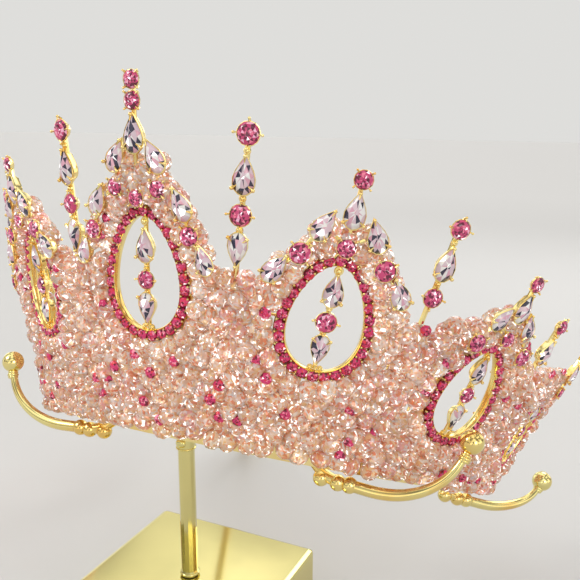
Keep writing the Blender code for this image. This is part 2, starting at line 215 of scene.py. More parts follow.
def colours():
    return bpy.context.scene.tiara_colours


# Places on the wall


def ring_to_world():
    lean = Matrix.Rotation(-TILT, 4, "X")
    return Matrix.Translation((0.0, RING_BACK * MM, RING_LEVEL * MM)) @ lean


def wall_frame(azimuth, height, depth=0.0, sideways=0.0, turn=0.0):
    """Frame on the flared wall, in metres: X runs round it, Y up it and Z outward."""
    height = height * HEIGHT_STRETCH
    radius = RING_RADIUS + height * math.sin(FLARE)
    angle = math.radians(azimuth) + sideways / radius
    upright = Matrix.Rotation(angle, 4, "Z") @ Matrix.Translation((0.0, -RING_RADIUS * MM, 0.0))
    slope = Matrix.Rotation(math.pi / 2 + FLARE, 4, "X")
    local = Matrix.Translation((0.0, height * MM, depth * MM))
    return ring_to_world() @ upright @ slope @ local @ Matrix.Rotation(math.radians(turn), 4, "Z")


def wall_point(azimuth, height, depth=0.0, sideways=0.0):
    return wall_frame(azimuth, height, depth, sideways).to_translation()


def ring_point(x, y, level):
    return ring_to_world() @ (Vector((x, y, level)) * MM)


def bead_top(azimuth):
    """Height of the bead edge at any azimuth."""
    place = min(abs(azimuth) / COLUMN_STEP, len(BEAD_TOP) - 1.001)
    column = int(place)
    part = place - column
    return BEAD_TOP[column] * (1 - part) + BEAD_TOP[column + 1] * part


def egg_point(window, angle, margin=0.0):
    """Sideways place and height on the outline of an opening, widened by a margin."""
    foot, top, width = window[2:]
    y = math.cos(angle)
    x = math.sin(angle) * (1.0 - EGG_TAPER * y)
    return x * (width / 2 + margin), (foot + top) / 2 + y * ((top - foot) / 2 + margin)


def in_window(azimuth, height, margin):
    """True inside an opening and its band."""
    for window in WINDOWS:
        place, foot, top, width = window[1:]
        radius = RING_RADIUS + height * math.sin(FLARE)
        across = math.radians(abs(azimuth) - place * WINDOW_PITCH) * radius
        up = (height - (foot + top) / 2) / ((top - foot) / 2 + margin)
        if abs(up) < 1.0:
            wide = math.sqrt(1.0 - up * up) * (1.0 - EGG_TAPER * up)
            if abs(across) < wide * (width / 2 + margin):
                return True
    return False


# Modelling helpers


def deselect():
    bpy.ops.object.select_all(action="DESELECT")


def added(name):
    """The primitive just added, under its own name."""
    thing = bpy.context.object
    thing.name = name
    thing.data.name = name
    return thing


def sphere(name, radius, place=(0.0, 0.0, 0.0), segments=8, rings=6):
    deselect()
    bpy.ops.mesh.primitive_uv_sphere_add(
        segments=segments, ring_count=rings, radius=radius, location=place)
    return added(name)


def hoop(name, radius, thick, segments, sides, place=(0.0, 0.0, 0.0), turn=(0.0, 0.0, 0.0)):
    deselect()
    bpy.ops.mesh.primitive_torus_add(
        major_radius=radius, minor_radius=thick, major_segments=segments, minor_segments=sides,
        location=place, rotation=turn)
    return added(name)


def pick(thing, test):
    """In edit mode, select the vertices that pass a test."""
    bpy.ops.mesh.select_mode(type="VERT")
    shape = bmesh.from_edit_mesh(thing.data)
    for vertex in shape.verts:
        vertex.select = test(vertex.co)
    shape.select_flush_mode()
    bmesh.update_edit_mesh(thing.data)


def pick_cap(thing, upward):
    """In edit mode, select the end face that looks up or down."""
    bpy.ops.mesh.select_mode(type="FACE")
    bpy.ops.mesh.select_all(action="DESELECT")
    shape = bmesh.from_edit_mesh(thing.data)
    shape.faces.ensure_lookup_table()
    side = 1 if upward else -1
    cap = max(shape.faces, key=lambda face: side * face.calc_center_median().z)
    cap.select = True
    bmesh.update_edit_mesh(thing.data)


def draw_out(rise, spread, turn=0.0):
    """Extrude the chosen end face, then widen and turn it about the middle."""
    bpy.ops.mesh.extrude_region_move(TRANSFORM_OT_translate={"value": (0.0, 0.0, rise)})
    bpy.ops.transform.resize(value=(spread, spread, 1.0), center_override=(0.0, 0.0, 0.0))
    if turn:
        bpy.ops.transform.rotate(value=turn, orient_axis="Z", center_override=(0.0, 0.0, 0.0))


def split_into_facets():
    bpy.ops.mesh.select_all(action="SELECT")
    bpy.ops.mesh.quads_convert_to_tris(quad_method="SHORTEST_DIAGONAL", ngon_method="BEAUTY")
    bpy.ops.mesh.normals_make_consistent(inside=False)


def drawn_disc(name, sides, radius, depth, above, below=(), level=0.0, faceted=False):
    """Disc drawn out in steps, each a rise, a spread and a turn: above first, then below."""
    deselect()
    bpy.ops.mesh.primitive_cylinder_add(
        vertices=sides, radius=radius, depth=depth, location=(0.0, 0.0, level))
    thing = added(name)
    bpy.ops.object.transform_apply(location=True, rotation=False, scale=False)
    bpy.ops.object.mode_set(mode="EDIT")
    for upward, steps in ((True, above), (False, below)):
        if steps:
            pick_cap(thing, upward)
        for step in steps:
            draw_out(*step)
    if faceted:
        split_into_facets()
    bpy.ops.object.mode_set(mode="OBJECT")
    return thing


def join(name, things):
    """Several objects as one, under the first one's place."""
    deselect()
    for thing in things:
        thing.select_set(True)
    bpy.context.view_layer.objects.active = things[0]
    if len(things) > 1:
        bpy.ops.object.join()
    whole = bpy.context.view_layer.objects.active
    whole.name = name
    whole.data.name = name
    bpy.ops.object.transform_apply(location=True, rotation=True, scale=True)
    return whole


def soften(thing, degrees=40):
    """Smooth shading up to a sharp edge."""
    deselect()
    thing.select_set(True)
    bpy.context.view_layer.objects.active = thing
    bpy.ops.object.shade_smooth_by_angle(angle=math.radians(degrees))
    return thing


def dress(thing, material):
    thing.data.materials.clear()
    thing.data.materials.append(material)
    return thing


def steady_faces(mesh):
    """Corners of all faces in one settled order.

    Blender gives its faces another order each run, which would move the shades."""
    faces = []
    for polygon in mesh.polygons:
        corners = list(polygon.vertices)
        first = corners.index(min(corners))
        faces.append(corners[first:] + corners[:first])
    return sorted(faces)


def lay_out(name, master, places, material, seed=1):
    """One mesh with a copy of the master at each place, each copy and facet with its own shade."""
    mesh = master.data
    points = np.empty(len(mesh.vertices) * 3)
    mesh.vertices.foreach_get("co", points)
    points = np.c_[points.reshape(-1, 3), np.ones(len(mesh.vertices))]
    faces = steady_faces(mesh)
    loops = np.concatenate(faces)
    totals = np.array([len(face) for face in faces])
    starts = np.r_[0, np.cumsum(totals)[:-1]]
    count = len(places)
    moved = [(points @ np.array(place).T)[:, :3] for place in places]
    copy = bpy.data.meshes.new(name)
    copy.vertices.add(len(points) * count)
    copy.vertices.foreach_set("co", np.concatenate(moved).ravel())
    copy.loops.add(len(loops) * count)
    shift = np.repeat(np.arange(count) * len(points), len(loops))
    copy.loops.foreach_set("vertex_index", (np.tile(loops, count) + shift).astype(np.int32))
    copy.polygons.add(len(totals) * count)
    step = np.repeat(np.arange(count) * len(loops), len(totals))
    copy.polygons.foreach_set("loop_start", (np.tile(starts, count) + step).astype(np.int32))
    copy.update(calc_edges=True)
    chance = np.random.default_rng(seed)
    facet = copy.attributes.new("facet", "FLOAT", "FACE")
    facet.data.foreach_set("value", chance.random(len(totals) * count).astype(np.float32))
    tint = copy.attributes.new("tint", "FLOAT", "FACE")
    tint.data.foreach_set("value", np.repeat(chance.random(count), len(totals)).astype(np.float32))
    copy.materials.append(material)
    thing = bpy.data.objects.new(name, copy)
    bpy.context.scene.collection.objects.link(thing)
    return thing


def rod_place(start, end, width):
    """Place of a unit rod that runs from start to end."""
    along = end - start
    turn = along.to_track_quat("Z", "Y").to_matrix().to_4x4()
    size = Matrix.Diagonal((width, width, along.length, 1.0))
    return Matrix.Translation((start + end) / 2) @ turn @ size


def sized(place, size):
    return place @ Matrix.Scale(size, 4)


# Masters: each small shape is modelled once, one unit wide, and copied at its size

PEAR_STRETCH = 1.12
MASTERS = {}


def master(name):
    if name not in MASTERS:
        MASTERS[name] = MODELLERS[name]()
        MASTERS[name].hide_render = True
    return MASTERS[name]


def discard_masters():
    for thing in MASTERS.values():
        bpy.data.objects.remove(thing, do_unlink=True)
    MASTERS.clear()


def model_bead():
    """Cut glass bead: a squat ball whose rings are turned against each other.

    The turned rings break its faces into facets."""
    sides = 9
    bead = sphere("bead_master", 0.5, segments=sides)
    bpy.ops.object.mode_set(mode="EDIT")
    for low, high in ((0.2, 0.3), (-0.3, -0.2)):
        pick(bead, lambda co: low < co.z < high)
        bpy.ops.transform.rotate(
            value=math.pi / sides, orient_axis="Z", center_override=(0.0, 0.0, 0.0))
    bpy.ops.mesh.select_all(action="SELECT")
    bpy.ops.transform.resize(value=(1.0, 1.0, 0.86), center_override=(0.0, 0.0, 0.0))
    bpy.ops.mesh.normals_make_consistent(inside=False)
    bpy.ops.object.mode_set(mode="OBJECT")
    return bead


def model_round_stone():
    """Round cut stone: girdle, two rows of crown facets, table and pavilion."""
    turn = math.pi / 12
    return drawn_disc(
        "round_stone_master", 12, 0.5, 0.06,
        ((0.10, 0.80, turn), (0.07, 0.66, turn), (0.0, 0.45, turn)),
        ((-0.12, 0.6, turn), (-0.12, 0.2, turn)), faceted=True)


def model_small_stone():
    """Little band stone: a few facets only, because it is copied by the hundred."""
    turn = math.pi / 8
    return drawn_disc(
        "small_stone_master", 8, 0.5, 0.10,
        ((0.15, 0.62, turn), (0.03, 0.4)), ((-0.16, 0.4, turn),), faceted=True)


def to_pear(thing):
    """Reshape a round plan into a drop with its point along Y."""
    for vertex in thing.data.vertices:
        x, y, z = vertex.co
        reach = math.hypot(x, y) * 2
        if reach > 1e-6:
            up = y * 2 / reach
            narrow = 0.58 - 0.36 * up - 0.20 * up * up
            vertex.co = (x * narrow, y * PEAR_STRETCH, z)
    return thing


def model_pear_stone():
    """Drop-shaped cut stone with long crown facets."""
    turn = math.pi / 12
    return to_pear(drawn_disc(
        "pear_stone_master", 12, 0.5, 0.05,
        ((0.09, 0.66, turn), (0.07, 0.3, turn)), ((-0.10, 0.5, turn), (-0.06, 0.2)), faceted=True))


def model_cup(name, sides):
    """Metal cup under a stone: closed back, flared wall and a rim round the girdle."""
    return drawn_disc(
        name, sides, 0.34, 0.02,
        ((0.19, 1.47), (0.05, 1.06), (0.045, 0.98), (0.0, 0.95), (-0.06, 0.92), (-0.12, 0.6)),
        level=-0.26)


def model_claw():
    """Pin that stands out from the cup, with a bead at its head and a finger over the stone."""
    deselect()
    bpy.ops.mesh.primitive_cylinder_add(
        vertices=7, radius=0.042, depth=0.24, location=(0.57, 0.0, -0.01), rotation=(0.0, 0.45, 0.0))
    pin = added("claw_master")
    head = sphere("claw_head", 0.07, (0.62, 0.0, 0.10))
    deselect()
    bpy.ops.mesh.primitive_cone_add(
        vertices=7, radius1=0.045, radius2=0.018, depth=0.19, location=(0.53, 0.0, 0.125),
        rotation=(0.0, -math.radians(75), 0.0))
    return join("claw_master", [pin, head, added("claw_finger")])


def claw_ring(angles):
    """Places of the claws round a stone one unit wide."""
    return [Matrix.Rotation(angle, 4, "Z") for angle in angles]


def model_round_setting():
    """Cup and four claws of a round stone."""
    cup = model_cup("round_setting_master", 14)
    claws = lay_out("claws", master("claw"), claw_ring([math.pi / 2 * i for i in range(4)]), None)
    return join("round_setting_master", [cup, claws])


def model_pear_setting():
    """Cup and claws of a drop-shaped stone: one at its point and two at its shoulders."""
    cup = to_pear(model_cup("pear_setting_master", 18))
    point = Matrix.Translation((0.0, -0.06, 0.0)) @ Matrix.Rotation(math.pi / 2, 4, "Z")
    right = Matrix.Translation((-0.14, -0.04, 0.0)) @ Matrix.Rotation(math.radians(-38), 4, "Z")
    left = Matrix.Translation((0.14, -0.04, 0.0)) @ Matrix.Rotation(math.radians(218), 4, "Z")
    places = [sized(place, 0.9) for place in (point, right, left)]
    return join("pear_setting_master", [cup, lay_out("claws", master("claw"), places, None)])


def model_knot():
    """Small link between two stones: a ring with a bead on it."""
    ring = hoop("knot_master", 0.34, 0.15, 12, 6)
    return join("knot_master", [ring, sphere("knot_bead", 0.3, (0.0, 0.0, 0.12), 10)])


def model_rod():
    """Straight wire, one unit long and wide, with rounded ends."""
    return drawn_disc("rod_master", 8, 0.5, 1.0, ((0.004, 0.6),), ((-0.004, 0.6),))


def model_grain():
    """Grain of gold that holds the band stones."""
    return sphere("grain_master", 0.5, segments=6, rings=4)


MODELLERS = {
    "bead": model_bead,
    "round_stone": model_round_stone,
    "small_stone": model_small_stone,
    "pear_stone": model_pear_stone,
    "claw": model_claw,
    "round_setting": model_round_setting,
    "pear_setting": model_pear_setting,
    "knot": model_knot,
    "rod": model_rod,
    "grain": model_grain,
}


# Materials

WHITE = (1.0, 1.0, 1.0, 1.0)
CUT_AXIS = (0.36, 0.80, 0.48)
CUT_STRETCH = (1.0, 1.0, 0.3)
SCRATCH_SCALE = 2600.0
SCRATCH_HEIGHT = 0.00002
HAZE_SCALE = 900.0
# Strength of the painted glow: the glinting facets shine as if they were lit
PAINTED_GLOW_STRENGTH = 0.9
# Painted backlight: between these heights, in metres, the beads grow paler towards the top of the wall,
# as if lit from behind
PAINTED_BACKLIGHT_LEVELS = (0.085, 0.125)
PAINTED_BACKLIGHT_GLASS = (1.0, 0.91, 0.90, 1.0)
# Painted refraction: a share of the beads tinted pink, as if the crimson stones behind them showed
# through
PAINTED_REFRACTION_SHARE = 0.16
PAINTED_REFRACTION_PINK = (1.0, 0.48, 0.53, 1.0)


def feed(tree, node, inputs):
    """Link each input of a node to a socket, or give it a plain value."""
    for label, value in inputs.items():
        if isinstance(value, bpy.types.NodeSocket):
            tree.links.new(value, node.inputs[label])
        else:
            node.inputs[label].default_value = value


def shader_node(tree, kind, inputs, **settings):
    """New shader node with its settings and inputs."""
    node = tree.nodes.new("ShaderNode" + kind)
    for name, value in settings.items():
        setattr(node, name, value)
    feed(tree, node, inputs)
    return node


def maths(tree, operation, first, second):
    return shader_node(tree, "Math", {0: first, 1: second}, operation=operation).outputs[0]


def vector_maths(tree, operation, first, second):
    return shader_node(tree, "VectorMath", {0: first, 1: second}, operation=operation).outputs[0]


def scaled(tree, vector, factor):
    node = shader_node(tree, "VectorMath", {0: vector, "Scale": factor}, operation="SCALE")
    return node.outputs[0]


def mixed(tree, factor, first, second):
    """Colour mix of two colour sockets or plain colours."""
    return shader_node(tree, "Mix", {0: factor, 6: first, 7: second}, data_type="RGBA").outputs[2]


def ranged(tree, value, low, high, least=0.0, most=1.0):
    """A value spread from one range to another and held at its ends."""
    node = shader_node(tree, "MapRange", {
        "Value": value, "From Min": low, "From Max": high, "To Min": least, "To Max": most})
    return node.outputs["Result"]


def attribute(tree, name):
    return shader_node(tree, "Attribute", {}, attribute_name=name).outputs["Fac"]


def place_on(tree, output="Object"):
    return shader_node(tree, "TexCoord", {}).outputs[output]


def axis_part(tree, vector, axis):
    return shader_node(tree, "SeparateXYZ", {"Vector": vector}).outputs[axis]


def noise(tree, scale, detail=2.0, output="Object"):
    node = shader_node(tree, "TexNoise", {
        "Scale": scale, "Detail": detail, "Vector": place_on(tree, output)})
    return node.outputs["Fac"]


def new_group(name, inputs, outputs):
    """Empty shader group with named sockets, and its input and output nodes."""
    group = bpy.data.node_groups.new(name, "ShaderNodeTree")
    for label, kind, value in inputs:
        made = group.interface.new_socket(label, in_out="INPUT", socket_type=kind)
        made.default_value = value
    for label, kind in outputs:
        group.interface.new_socket(label, in_out="OUTPUT", socket_type=kind)
    return group, group.nodes.new("NodeGroupInput").outputs, group.nodes.new("NodeGroupOutput")


def make_facet_group(name):
    """Colour of each facet by its own number: two tones, then shares of deep ones, which are painted
    reflections, warm ones, and bright ones, which are painted highlights; a few of the bright ones also
    get a painted glow.
    """
    colour = "NodeSocketColor"
    amount = "NodeSocketFloat"
    group, given, end = new_group(
        name,
        (("Main", colour, WHITE), ("Other", colour, WHITE), ("Deep", colour, WHITE),
         ("Warm", colour, WHITE), ("Bright", colour, WHITE), ("Deep Share", amount, 0.2),
         ("Warm Share", amount, 0.0), ("Painted Highlight Share", amount, 0.2), ("Painted Glow Share", amount, 0.0),
         ("Facet", amount, 0.5)),
        (("Color", colour), ("Painted Glow", colour)))
    facet = given["Facet"]
    blend = maths(group, "MULTIPLY", maths(group, "ADD", attribute(group, "tint"), facet), 0.5)
    body = mixed(group, blend, given["Main"], given["Other"])
    # Deep facets are painted reflections: dark ones in the stones, coral glints in the beads; warm
    # facets are a tone of their own
    below = maths(group, "ADD", given["Deep Share"], given["Warm Share"])
    for limit, shade in ((below, "Warm"), (given["Deep Share"], "Deep")):
        body = mixed(group, maths(group, "LESS_THAN", facet, limit), body, given[shade])
    # The last facets by number are painted highlights, and the very last of them also get a painted
    # glow
    bright, glint = (
        maths(group, "GREATER_THAN", facet, maths(group, "SUBTRACT", 1.0, given[share]))
        for share in ("Painted Highlight Share", "Painted Glow Share"))
    feed(group, end, {"Color": mixed(group, bright, body, given["Bright"]), "Painted Glow": glint})


def make_fine_cut_group(name):
    """Thin cuts of a glass bead, laid another way on each facet.

    Each cut has a random value and a tipped face."""
    group, given, end = new_group(
        name,
        (("Scale", "NodeSocketFloat", 1000.0), ("Tip", "NodeSocketFloat", 0.5)),
        (("Value", "NodeSocketFloat"), ("Normal", "NodeSocketVector")))
    angle = maths(group, "MULTIPLY", attribute(group, "facet"), 2 * math.pi)
    turned = shader_node(group, "VectorRotate", {
        "Vector": place_on(group), "Axis": CUT_AXIS, "Angle": angle}).outputs[0]
    drawn = vector_maths(group, "MULTIPLY", turned, CUT_STRETCH)
    voronoi = shader_node(group, "TexVoronoi", {"Vector": drawn, "Scale": given["Scale"]})
    cells = voronoi.outputs["Color"]
    centred = vector_maths(group, "SUBTRACT", cells, (0.5, 0.5, 0.5))
    flat = shader_node(group, "NewGeometry", {}).outputs["Normal"]
    total = vector_maths(group, "ADD", flat, scaled(group, centred, given["Tip"]))
    unit = shader_node(group, "VectorMath", {0: total}, operation="NORMALIZE").outputs[0]
    feed(group, end, {"Value": axis_part(group, cells, "X"), "Normal": unit})


def make_polish_group(name):
    """Polished metal that has been handled: cloudiness, fine scratches and a warmer tone in patches."""
    colour = "NodeSocketColor"
    amount = "NodeSocketFloat"
    group, given, end = new_group(
        name,
        (("Metal", colour, WHITE), ("Shade", colour, WHITE), ("Clear", amount, 0.1),
         ("Cloudy", amount, 0.2), ("Cloud Scale", amount, 120.0)),
        (("Color", colour), ("Roughness", amount), ("Height", amount)))
    cloud = noise(group, given["Cloud Scale"], 3.0)
    patch = ranged(group, cloud, 0.42, 0.68)
    haze = maths(group, "MULTIPLY", maths(group, "SUBTRACT", given["Cloudy"], given["Clear"]), cloud)
    feed(group, end, {
        "Color": mixed(group, patch, given["Metal"], given["Shade"]),
        "Roughness": maths(group, "ADD", given["Clear"], haze),
        "Height": maths(group, "MULTIPLY", noise(group, SCRATCH_SCALE, 1.0), 0.5)})


GROUPS = {
    "facet_colours": make_facet_group,
    "fine_cuts": make_fine_cut_group,
    "handled_polish": make_polish_group,
}


def use_group(tree, name, inputs):
    """Shared effect, made once and placed in a material with its own values."""
    if name not in bpy.data.node_groups:
        GROUPS[name](name)
    return shader_node(tree, "Group", inputs, node_tree=bpy.data.node_groups[name]).outputs


def new_material(name):
    """Material with an empty tree but for its shader and output."""
    material = bpy.data.materials.new(name)
    material.use_nodes = True
    return material, material.node_tree, material.node_tree.nodes["Principled BSDF"]


def opaque(colour):
    return (*colour, 1.0)


def tone(colour, factor):
    return tuple(min(1.0, part * factor) for part in colour)


def metal_material(name, metal, shade, clear, cloudy, cloud_scale, relief):
    material, tree, shader = new_material(name)
    polish = use_group(tree, "handled_polish", {
        "Metal": opaque(metal), "Shade": opaque(shade), "Clear": clear, "Cloudy": cloudy,
        "Cloud Scale": cloud_scale})
    bump = shader_node(tree, "Bump", {
        "Strength": relief, "Distance": SCRATCH_HEIGHT, "Height": polish["Height"]})
    feed(tree, shader, {
        "Base Color": polish["Color"], "Roughness": polish["Roughness"],
        "Normal": bump.outputs["Normal"], "Metallic": 1.0})
    return material


def stone_material(name, shades, shares, clearness, roughness, index=1.55, fineness=0.0):
    """Cut glass or stone: facets of several shades, among them painted reflections and painted
    highlights, a polished face and a few that flash with a painted glow.
    """
    material, tree, shader = new_material(name)
    inputs = dict(zip(("Main", "Other", "Deep", "Warm", "Bright"), map(opaque, shades)))
    inputs.update(zip(("Deep Share", "Warm Share", "Painted Highlight Share", "Painted Glow Share"), shares))
    if fineness:
        cuts = use_group(tree, "fine_cuts", {"Scale": fineness})
        # Painted backlight: the higher beads are painted paler
        upper = ranged(tree, axis_part(tree, place_on(tree), "Z"), *PAINTED_BACKLIGHT_LEVELS)
        # Painted refraction: pink for the beads whose tint falls under the share
        refracted_pink = maths(tree, "LESS_THAN", attribute(tree, "tint"), PAINTED_REFRACTION_SHARE)
        main = mixed(tree, upper, inputs["Main"], PAINTED_BACKLIGHT_GLASS)
        inputs["Main"] = mixed(tree, refracted_pink, main, PAINTED_REFRACTION_PINK)
        inputs["Facet"] = cuts["Value"]
        feed(tree, shader, {"Normal": cuts["Normal"]})
    else:
        inputs["Facet"] = attribute(tree, "facet")
    facets = use_group(tree, "facet_colours", inputs)
    # Painted glow: the glinting facets feed the emission, so they shine without a lamp
    feed(tree, shader, {
        "Base Color": facets["Color"], "Emission Color": facets["Painted Glow"],
        "Emission Strength": PAINTED_GLOW_STRENGTH, "IOR": index, "Transmission Weight": clearness,
        "Roughness": maths(tree, "MULTIPLY", noise(tree, HAZE_SCALE), roughness)})
    return material


def gold():
    paint = colours()
    return metal_material("polished_gold", paint.gold, paint.gold_shade, 0.05, 0.17, 90.0, 0.12)


def arm_gold():
    paint = colours()
    return metal_material("arm_gold", paint.arm_gold, paint.gold_shade, 0.05, 0.15, 60.0, 0.08)


def stand_gold():
    pale = colours().stand_gold
    return metal_material("stand_gold", pale, tone(pale, 0.86), 0.06, 0.20, 26.0, 0.08)


def bead_glass():
    paint = colours()
    # Painted light in the beads: the third shade paints coral glints and the last paints white
    # highlights
    shades = (
        paint.bead_pale, paint.bead_warm, paint.bead_glint, (1.0, 0.68, 0.36), (1.0, 0.98, 0.96))
    return stone_material(
        "bead_glass", shades, (0.20, 0.20, 0.28, 0.06), 0.6, 0.06, index=1.45, fineness=1500.0)


def raspberry():
    main = colours().raspberry
    # Third shade: painted dark reflections; last shade: painted highlights
    shades = (main, tone(main, 0.8), tone(main, 0.22), (0.90, 0.22, 0.34), (1.0, 0.50, 0.70))
    return stone_material("raspberry_stone", shades, (0.30, 0.12, 0.14, 0.04), 0.12, 0.12)


def crimson():
    main = colours().crimson
    # Third shade: painted dark reflections; last shade: painted highlights
    shades = (main, (0.76, 0.04, 0.20), tone(main, 0.3), (0.80, 0.03, 0.05), (1.0, 0.30, 0.44))
    return stone_material("crimson_stone", shades, (0.25, 0.12, 0.14, 0.01), 0.1, 0.16)


def lilac():
    # Third shade: painted black reflections; last shade: painted white highlights
    shades = (
        colours().lilac, (0.90, 0.68, 0.77), (0.04, 0.04, 0.08), (0.84, 0.46, 0.58), (1.0, 1.0, 1.0))
    return stone_material("lilac_stone", shades, (0.20, 0.14, 0.26, 0.04), 0.25, 0.08)


FINISHES = {
    "gold": gold, "arm_gold": arm_gold, "stand_gold": stand_gold, "bead_glass": bead_glass,
    "raspberry": raspberry, "crimson": crimson, "lilac": lilac,
}
MADE_FINISHES = {}


def finish(name):
    if name not in MADE_FINISHES:
        MADE_FINISHES[name] = FINISHES[name]()
    return MADE_FINISHES[name]


# Pieces


def set_stone_places(frames):
    """Places of rounds and drops, from frame, kind and size of each stone."""
    rounds = []
    pears = []
    for place, kind, size in frames:
        if kind == "point":
            place = place @ Matrix.Rotation(math.pi, 4, "Z")
        (rounds if kind == "round" else pears).append(sized(place, size * MM))
    return rounds, pears


def set_stones(name, node, frames, rods, knots, seed):
    """One soldered group: wires, links, cups and claws in gold, with its stones."""
    rounds, pears = set_stone_places(frames)
    metal = finish("gold")
    metalwork = [
        lay_out(label, master(label), places, metal)
        for label, places in (
            ("rod", rods), ("knot", knots), ("round_setting", rounds), ("pear_setting", pears))
        if places]
    parts = [soften(join("metalwork", metalwork))]
    if rounds:
        parts.append(lay_out("rounds", master("round_stone"), rounds, finish("raspberry"), seed))
    if pears:
        parts.append(lay_out("pears", master("pear_stone"), pears, finish("lilac"), seed + 1))
    return mount(join(name, parts), "set_stone", node)


def mount(piece, slot, *nodes):
    """The piece rides on the object and stands for its solids."""
    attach(piece, "root")
    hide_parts(*nodes)
    return piece


def side_name(label, side):
    if label == "centre":
        return label
    return label + ("_right" if side > 0 else "_left")


def each_window():
    """Window, side, full name and azimuth of all the openings."""
    for window in WINDOWS:
        place = window[1]
        for side in (-1, 1) if place else (1,):
            yield window, side_name(window[0], side), side * place * WINDOW_PITCH


def links_between(azimuth, stones, size):
    """Links halfway between neighbouring stones of a string."""
    places = []
    for upper, lower in zip(stones, stones[1:]):
        between = (upper[1] - upper[2] / 2 + lower[1] + lower[2] / 2) / 2
        places.append(sized(wall_frame(azimuth, between, KNOT_DEPTH), size * MM))
    return places


def string_frames(azimuth, stones):
    return [(wall_frame(azimuth, height, DROP_DEPTH), kind, size) for kind, height, size in stones]


def build_drops():
    wire = sizes().wire_width
    for number, (window, label, azimuth) in enumerate(each_window()):
        foot, top = window[2:4]
        stones = DROPS[window[1]]
        rods = [rod_place(wall_point(azimuth, foot + 0.2), wall_point(azimuth, top - 0.2), wire)]
        knots = [sized(wall_frame(azimuth, top - 1.2, 0.6), 2.6 * MM)]
        knots += links_between(azimuth, stones, 1.9)
        for sideways in (-1.3, 1.3):
            knots.append(sized(wall_frame(azimuth, foot + 0.6, 0.5, sideways), 1.7 * MM))
        frames = string_frames(azimuth, stones)
        set_stones("drop_" + label, "window_drop_" + label, frames, rods, knots, 10 * number + 1)


def build_spires():
    wire = sizes().wire_width * 1.25
    for number, ((label, place), stones) in enumerate(SPIRES.items()):
        for side in (-1, 1):
            azimuth = side * place * WINDOW_PITCH
            low = wall_point(azimuth, bead_top(azimuth) - 3.0)
            rods = [rod_place(low, wall_point(azimuth, stones[0][1]), wire)]
            knots = links_between(azimuth, stones, 2.1)
            frames = string_frames(azimuth, stones)
            name = side_name(label, side)
            set_stones("stake_" + name, "spire_" + name, frames, rods, knots, 200 + 10 * number + side)


def crest_runs(stones):
    """Stretches of wire of a crest: the stem, then both branches."""
    seats = [(0.0, row[2]) for row in stones if row[1] == 0.0]
    branch = [row for row in stones if row[1] > 0.0]
    runs = [((0.0, seats[0][1] + 0.4), seats[-1])]
    for side in (-1, 1):
        path = [seats[-1]] + [(side * row[1], row[2]) for row in branch]
        runs.extend(zip(path, path[1:]))
    return runs


def build_peaks():
    wire = sizes().wire_width
    depth = PEAK_DEPTH - 0.8
    for number, (window, label, azimuth) in enumerate(each_window()):
        stones = PEAKS[window[1]]
        rods = []
        for (x0, h0), (x1, h1) in crest_runs(stones):
            ends = wall_point(azimuth, h0, depth, x0), wall_point(azimuth, h1, depth, x1)
            rods.append(rod_place(*ends, wire))
        frames = []
        for kind, sideways, height, size, lean in stones:
            for side in (-1, 1) if sideways else (1,):
                turn = ROUND_TURN if kind == "round" else side * lean
                place = wall_frame(azimuth, height, PEAK_DEPTH, side * sideways, turn)
                frames.append((place, kind, size))
        set_stones("crest_" + label, "peak_" + label, frames, rods, [], 400 + 10 * number)


def egg_hoop(name, window, azimuth, margin, across, thick, depth):
    """Hoop of flat or round section that follows an opening's outline on the wall."""
    line = hoop(name, 1.0, 0.5, 56, 8)
    for vertex in line.data.vertices:
        x, y, z = vertex.co
        angle = math.atan2(x, y)
        out = (math.hypot(x, y) - 1.0) * across
        sideways, height = egg_point(window, angle, margin + out)
        vertex.co = wall_point(azimuth, height, depth + z * thick, sideways)
    bpy.ops.object.mode_set(mode="EDIT")
    bpy.ops.mesh.select_all(action="SELECT")
    bpy.ops.mesh.normals_make_consistent(inside=False)
    bpy.ops.object.mode_set(mode="OBJECT")
    return dress(line, finish("gold"))


def even_angles(window, margin, spacing):
    """Angles that set stones evenly along an opening's outline."""
    fine = [2 * math.pi * i / 720 for i in range(721)]
    points = [Vector(egg_point(window, angle, margin)) for angle in fine]
    run = [0.0]
    for first, second in zip(points, points[1:]):
        run.append(run[-1] + (second - first).length)
    count = round(run[-1] / spacing)
    return [float(np.interp(run[-1] * i / count, run, fine)) for i in range(count)]


def build_bands():
    """Gold channel round each opening, filled with small stones between two lips and held by grains."""
    width = sizes().band_stone_width
    for number, (window, label, azimuth) in enumerate(each_window()):
        middle = FRAME_WIDTH / 2 + 0.1
        parts = [
            egg_hoop("bed", window, azimuth, middle, FRAME_WIDTH - 0.4, 1.6, BAND_DEPTH - 0.7),
            egg_hoop("inner_lip", window, azimuth, 0.3, 0.6, 2.4, BAND_DEPTH + 0.3),
            egg_hoop("outer_lip", window, azimuth, FRAME_WIDTH + 0.1, 0.4, 1.8, BAND_DEPTH - 0.2),
        ]
        angles = even_angles(window, middle, width / MM * 0.98)
        stones = []
        grains = []
        half = math.pi / len(angles)
        for angle in angles:
            sideways, height = egg_point(window, angle, middle)
            place = wall_frame(azimuth, height, BAND_DEPTH + 1.2, sideways, math.degrees(angle))
            stones.append(sized(place, width))
            for margin in (0.7, FRAME_WIDTH - 0.4):
                sideways, height = egg_point(window, angle + half, margin)
                grains.append(sized(wall_frame(azimuth, height, BAND_DEPTH + 1.4, sideways), 0.8 * MM))
        parts.append(lay_out("grains", master("grain"), grains, finish("gold")))
        metal = soften(join("metalwork", parts))
        gems = lay_out("gems", master("small_stone"), stones, finish("crimson"), 600 + number)
        piece = join("band_" + label, [metal, gems])
        mount(piece, "small_stone", "window_frame_" + label)


